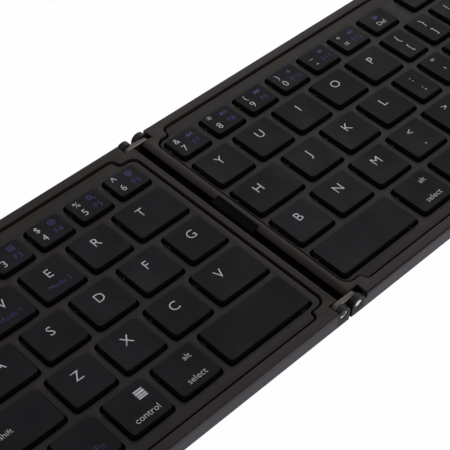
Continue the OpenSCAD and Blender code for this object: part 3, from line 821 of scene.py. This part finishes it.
printed = {}
for (leaf, row), entries in caps.items():
    for index, (_, _, node, (low, high)) in enumerate(entries):
        name = f"cap_{node}" if node not in CAP_GROUPS else f"cap_{node}_{row}{index}"
        place_cap(name, (low, high), node)
        for mark in LEGENDS[(leaf, row)][index]:
            _, content, *_, ink = mark
            if content:
                made = print_mark(mark, (low + high) / 2, high.z - CAP_DISH)
                printed.setdefault((node, ink), []).append(made)

for (node, ink), marks in printed.items():
    legend = joined(marks)
    legend.name = f"print_{ink}_{node}"
    legend.data.materials.clear()
    (WHITE_INK if ink == "white" else BLUE_INK).on(legend)
    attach(legend, BODY_OF[node])

for model in cap_models.values():
    bpy.data.objects.remove(model)


# ---------------------------------------------------------------- leaves: broken edges, clip hooks

PLATE_EDGE = 0.12 * MM
LINK_EDGE = 0.12 * MM
LEVEL_WITH_TOP = 0.003 * MM
WALL_TILT = 0.3
LINK_SHARP = math.radians(50)
PIN_DOME = 0.4 * MM  # height of the domed end that is cut off
PIN_SUNK = 0.24 * MM  # how far the flat end stays below the dome's top
PIN_RIM = 0.1 * MM
PIN_DISH = 0.25 * MM
DOME_TILT = 0.2
PIN_END = 0.99


def merged_copy(node, name):
    """A copy of a CAD node with its loose triangles joined up into flat faces."""
    copied = bpy.data.objects.new(name, frame["nodes"][node].data.copy())
    bpy.context.scene.collection.objects.link(copied)
    edit(copied)
    pick_all()
    bpy.ops.mesh.remove_doubles(threshold=SAME_PLACE)
    bpy.ops.mesh.dissolve_limited(angle_limit=math.radians(1))
    return copied


def finish_copy(copied, node):
    """Leaves edit mode and puts the copy in its node's place."""
    pick_all()
    bpy.ops.mesh.quads_convert_to_tris()
    leave_edit()
    bpy.ops.object.shade_smooth_by_angle(angle=SMOOTH_BELOW)
    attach(copied, BODY_OF[node])
    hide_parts(node)
    return copied


def break_edges(node, name):
    """Breaks the sharp edges round a node's top face, inside and outside."""
    copied = merged_copy(node, name)
    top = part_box(node)[1].z
    pick_edges(copied, lambda a, b: max(abs(a.z - top), abs(b.z - top)) < LEVEL_WITH_TOP)
    mesh = bmesh.from_edit_mesh(copied.data)
    for edge in mesh.edges:
        walls = [face for face in edge.link_faces if abs(face.normal.z) < WALL_TILT]
        edge.select_set(edge.select and len(walls) == 1)
    bmesh.update_edit_mesh(copied.data)
    bpy.ops.mesh.bevel(offset=PLATE_EDGE, segments=2, affect="EDGES", clamp_overlap=False)
    return finish_copy(copied, node)


PAINTED = (("key_plate", "plate", PLATE_PAINT), ("top_frame", "frame", FRAME_PAINT))
for leaf_name in LEAVES:
    for cad_name, part, paint in PAINTED:
        piece = break_edges(f"{leaf_name}_{cad_name}", f"{leaf_name}_{part}_with_broken_edges")
        paint.on(piece)

for node in ("front_link", "rear_link"):
    link = merged_copy(node, f"{node}_with_broken_edges")
    leave_edit()
    bevel = link.modifiers.new("broken_edges", "BEVEL")
    bevel.width, bevel.segments = LINK_EDGE, 2
    bevel.limit_method, bevel.angle_limit = "ANGLE", LINK_SHARP
    bevel.use_clamp_overlap = False
    choose(link)
    bpy.ops.object.modifier_apply(modifier=bevel.name)
    edit(link)
    LINK_METAL.on(finish_copy(link, node))

# Each rivet's end: its dome is cut off, and a rim and a dish take its place
pins = merged_copy("hinge_pins", "hinge_pins_with_dished_ends")
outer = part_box("hinge_pins")[1].y
pick_faces(pins, lambda middle, normal: abs(middle.y) > outer - PIN_DOME and abs(normal.y) > DOME_TILT)
bpy.ops.mesh.delete(type="FACE")
pick_all()
bpy.ops.mesh.fill_holes(sides=0)
face_outwards()
for side in (-1, 1):
    inner = outer - 1.2 * PIN_DOME
    pick_faces(pins, lambda middle, normal: normal.y * side > PIN_END and middle.y * side > inner)
    raise_picked(0, side * (PIN_DOME - PIN_SUNK), 0)
    bpy.ops.mesh.inset(thickness=PIN_RIM, depth=0)
    bpy.ops.mesh.inset(thickness=PIN_DISH, depth=-PIN_DISH)
PIN_METAL.on(finish_copy(pins, "hinge_pins"))

# A bent tab of the support plate holds each key's clip, just inside the cap's left wall
HOOK_SIZE = Vector((0.42, 0.6, 0.66)) * MM
HOOK_IN = 0.98 * MM
HOOK_FROM_END = 2.0 * MM
HOOK_FOOT = 3.95 * MM
HOOK_NOSE = Vector((-0.12, 0, 0.08)) * MM
HOOK_ROUND = 0.07 * MM
HOOK_METAL = brushed_metal(
    "hook_steel", shade(196, 194, 196), shade(226, 224, 226), 0.4, metal=0.1
)


def model_hook():
    """A bent tab with a nose towards the key's end, foot at the origin."""
    bpy.ops.mesh.primitive_cube_add(size=1, location=(0, 0, HOOK_SIZE.z / 2), scale=HOOK_SIZE)
    hook = settle(bpy.context.object)
    edit(hook)
    pick_faces(hook, lambda middle, normal: normal.z > FACING)
    raise_picked(*HOOK_NOSE)
    halfway = 0.5 * HOOK_SIZE.z
    pick_edges(hook, lambda a, b: abs(a.y - b.y) > LEAST_SPAN and min(a.z, b.z) > halfway)
    bpy.ops.mesh.bevel(offset=HOOK_ROUND, segments=2, affect="EDGES", clamp_overlap=True)
    leave_edit()
    return hook


hook_model = model_hook()
hooks = {0: [], 1: []}
for (leaf, row), entries in caps.items():
    for _, _, node, (low, high) in entries:
        places = [(low.x + HOOK_IN, high.y - HOOK_FROM_END)]
        if node.endswith("space_bar"):
            places.append((high.x - HOOK_FROM_END, low.y + HOOK_IN))
        for place in places:
            hook = copy_of(hook_model)
            hook.location = (*place, HOOK_FOOT)
            hooks[leaf].append(settle(hook))
bpy.data.objects.remove(hook_model)
for leaf, made in hooks.items():
    row_of_hooks = joined(made)
    row_of_hooks.name = f"{LEAVES[leaf]}_clip_hooks"
    HOOK_METAL.on(row_of_hooks)
    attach(row_of_hooks, f"{LEAVES[leaf]}_half")


# ---------------------------------------------------------------- domes and clips

FILM_TOP = 3.95 * MM
PRESS_OF = {joint["child"]: joint for joint in frame["record"]["behaviour"]["joints"]}


def key_over(middle):
    """The node of the cap over this place."""
    for entries in caps.values():
        for _, _, node, (low, high) in entries:
            if low.x < middle.x < high.x and low.y < middle.y < high.y:
                return node
    raise ValueError("no key over this place")


def part_by_key(node, slot_name):
    """Splits a leaf's domes or clips by the key they carry, one piece with its own mesh per key."""
    whole = merged_copy(node, f"{node}_split")
    pick_all()
    bpy.ops.mesh.quads_convert_to_tris()
    bpy.ops.mesh.separate(type="LOOSE")
    leave_edit()
    by_key = {}
    for part in [thing for thing in bpy.data.objects if thing.name.startswith(whole.name)]:
        points = [vert.co for vert in part.data.vertices]
        by_key.setdefault(key_over(sum(points, Vector()) / len(points)), []).append(part)
    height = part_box(node)[1].z - FILM_TOP
    for key, parts in by_key.items():
        piece = joined(parts)
        bpy.ops.object.shade_smooth_by_angle(angle=SMOOTH_BELOW)
        piece.name = f"{node}_under_{key}"
        FINISHES[slot_name].on(piece)
        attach(piece, BODY_OF[node])
        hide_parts(node)
        press = PRESS_OF[BODY_OF[key]]
        1 - press["range_m"][1] / height
        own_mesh(piece)


for leaf_name in LEAVES:
    part_by_key(f"{leaf_name}_rubber_domes", "dome_rubber")
    part_by_key(f"{leaf_name}_scissor_clips", "clip_plastic")


# ---------------------------------------------------------------- finishes of the CAD nodes

SLOT_OF = {
    "base_shell": "shell_metal", "top_frame": "frame_plastic", "key_plate": "plate_plastic",
    "support_plate": "support_steel", "switch_membrane": "membrane_film", "rubber_domes": "dome_rubber",
    "scissor_clips": "clip_plastic", "magnets": "magnet_plating", "feet": "foot_rubber",
    "screws": "screw_steel", "left_battery": "battery_pouch", "main_board": "board_green",
    "charging_socket": "socket_steel", "cable_cover": "cover_plastic", "flex_cable": "cable_film",
    "_link": "link_metal", "hinge_pins": "pin_metal", "key": "cap_plastic", "space_bar": "cap_plastic",
}
for node, thing in frame["nodes"].items():
    slot_name = next(slot for part, slot in SLOT_OF.items() if part in node)
    FINISHES[slot_name].on(thing)


# ---------------------------------------------------------------- floor, light and camera

FLOOR_SIZE = 6
FLOOR_DROP = 0.02 * MM
FLOOR_WHITE = 0.985
COVERED_X, COVERED_Y = (0.1385, 0.1400), (0.0462, 0.0472)
SKY_STRENGTH = 0.22

bpy.ops.object.select_all(action="DESELECT")
bpy.ops.mesh.primitive_plane_add(size=FLOOR_SIZE, location=(0, 0, -FLOOR_DROP))
floor = bpy.context.object
floor.name = "floor"
floor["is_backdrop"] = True

# The floor shows itself as white, also in reflections, but for the part that the keyboard covers
paper = Finish("floor_paper", Base_Color=(0.86, 0.86, 0.86, 1), Roughness=0.9, Specular_IOR_Level=0.0)
rays = paper.node("ShaderNodeLightPath").outputs
RAY_KINDS = [f"Is {kind} Ray" for kind in ("Camera", "Glossy", "Transmission")]
seen, mirrored, through = [Value(paper, rays[kind]) for kind in RAY_KINDS]
x, y, _ = paper.xyz()
covered = (1 - x.size().between(*COVERED_X)) * (1 - y.size().between(*COVERED_Y))
share = FLOOR_WHITE * (seen + (mirrored + through) * (1 - covered))
glow = paper.node("ShaderNodeEmission", None, {"Strength": 1.0}).outputs[0]
mix = paper.node("ShaderNodeMixShader", None, {0: share, 1: paper.shader.outputs[0], 2: glow})
paper.links.new(mix.outputs[0], paper.nodes["Material Output"].inputs[0])
paper.on(floor)

# The sky lights the scene weakly and is seen, mirrored and seen through as white
world = bpy.data.worlds.new("studio")
bpy.context.scene.world = world
world.use_nodes = True
tree = world.node_tree
sky = tree.nodes["Background"]
backdrop = tree.nodes.new("ShaderNodeBackground")
rays = tree.nodes.new("ShaderNodeLightPath").outputs
either, any_of_them = [tree.nodes.new("ShaderNodeMath") for _ in range(2)]
mix = tree.nodes.new("ShaderNodeMixShader")
for light, strength in ((sky, SKY_STRENGTH), (backdrop, 1.0)):
    light.inputs["Color"].default_value = (1, 1, 1, 1)
    light.inputs["Strength"].default_value = strength
either.operation = any_of_them.operation = "MAXIMUM"
for source, target in (
    (rays[RAY_KINDS[0]], either.inputs[0]),
    (rays[RAY_KINDS[1]], either.inputs[1]),
    (either.outputs[0], any_of_them.inputs[0]),
    (rays[RAY_KINDS[2]], any_of_them.inputs[1]),
    (any_of_them.outputs[0], mix.inputs[0]),
    (sky.outputs[0], mix.inputs[1]),
    (backdrop.outputs[0], mix.inputs[2]),
    (mix.outputs[0], tree.nodes["World Output"].inputs[0]),
):
    tree.links.new(source, target)


def soft_box(name, place, target, size, watts):
    """A round lamp that faces its target."""
    bpy.ops.object.light_add(type="AREA", location=place)
    lamp = bpy.context.object
    lamp.name = name
    lamp.data.shape = "DISK"
    lamp.data.size = size
    lamp.data.energy = watts
    aim = Vector(target) - Vector(place)
    lamp.rotation_mode = "QUATERNION"
    lamp.rotation_quaternion = aim.to_track_quat("-Z", "Y")


soft_box("side_soft_box", place=(0.42, 0.28, 0.5), target=(0.02, 0, 0), size=0.5, watts=1.7)
soft_box("front_soft_box", place=(0.3, -1.0, 0.4), target=(0, 0, 0), size=0.6, watts=0.9)

CAMERA_AXES = (
    Vector((0.70844, -0.70491, 0.03483)),
    Vector((0.49345, 0.53000, 0.68965)),
    Vector((-0.50460, -0.47139, 0.72331)),
)
CAMERA_PLACE = (-0.21290, -0.19498, 0.30566)
FOCAL_PIXELS = 1376.6
PICTURE_PIXELS = 450
SENSOR_WIDTH = 36
NEAREST, FARTHEST = 0.01, 20

camera_data = bpy.data.cameras.new("camera")
camera = bpy.data.objects.new("camera", camera_data)
bpy.context.scene.collection.objects.link(camera)
camera_turn = Matrix([[axis[k] for axis in CAMERA_AXES] for k in range(3)]).to_4x4()
camera.matrix_world = Matrix.Translation(CAMERA_PLACE) @ camera_turn
camera_data.sensor_width = SENSOR_WIDTH
camera_data.lens = FOCAL_PIXELS / PICTURE_PIXELS * SENSOR_WIDTH
camera_data.clip_start, camera_data.clip_end = NEAREST, FARTHEST
bpy.context.scene.camera = camera
bpy.context.scene.view_settings.view_transform = "Standard"

low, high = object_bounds()
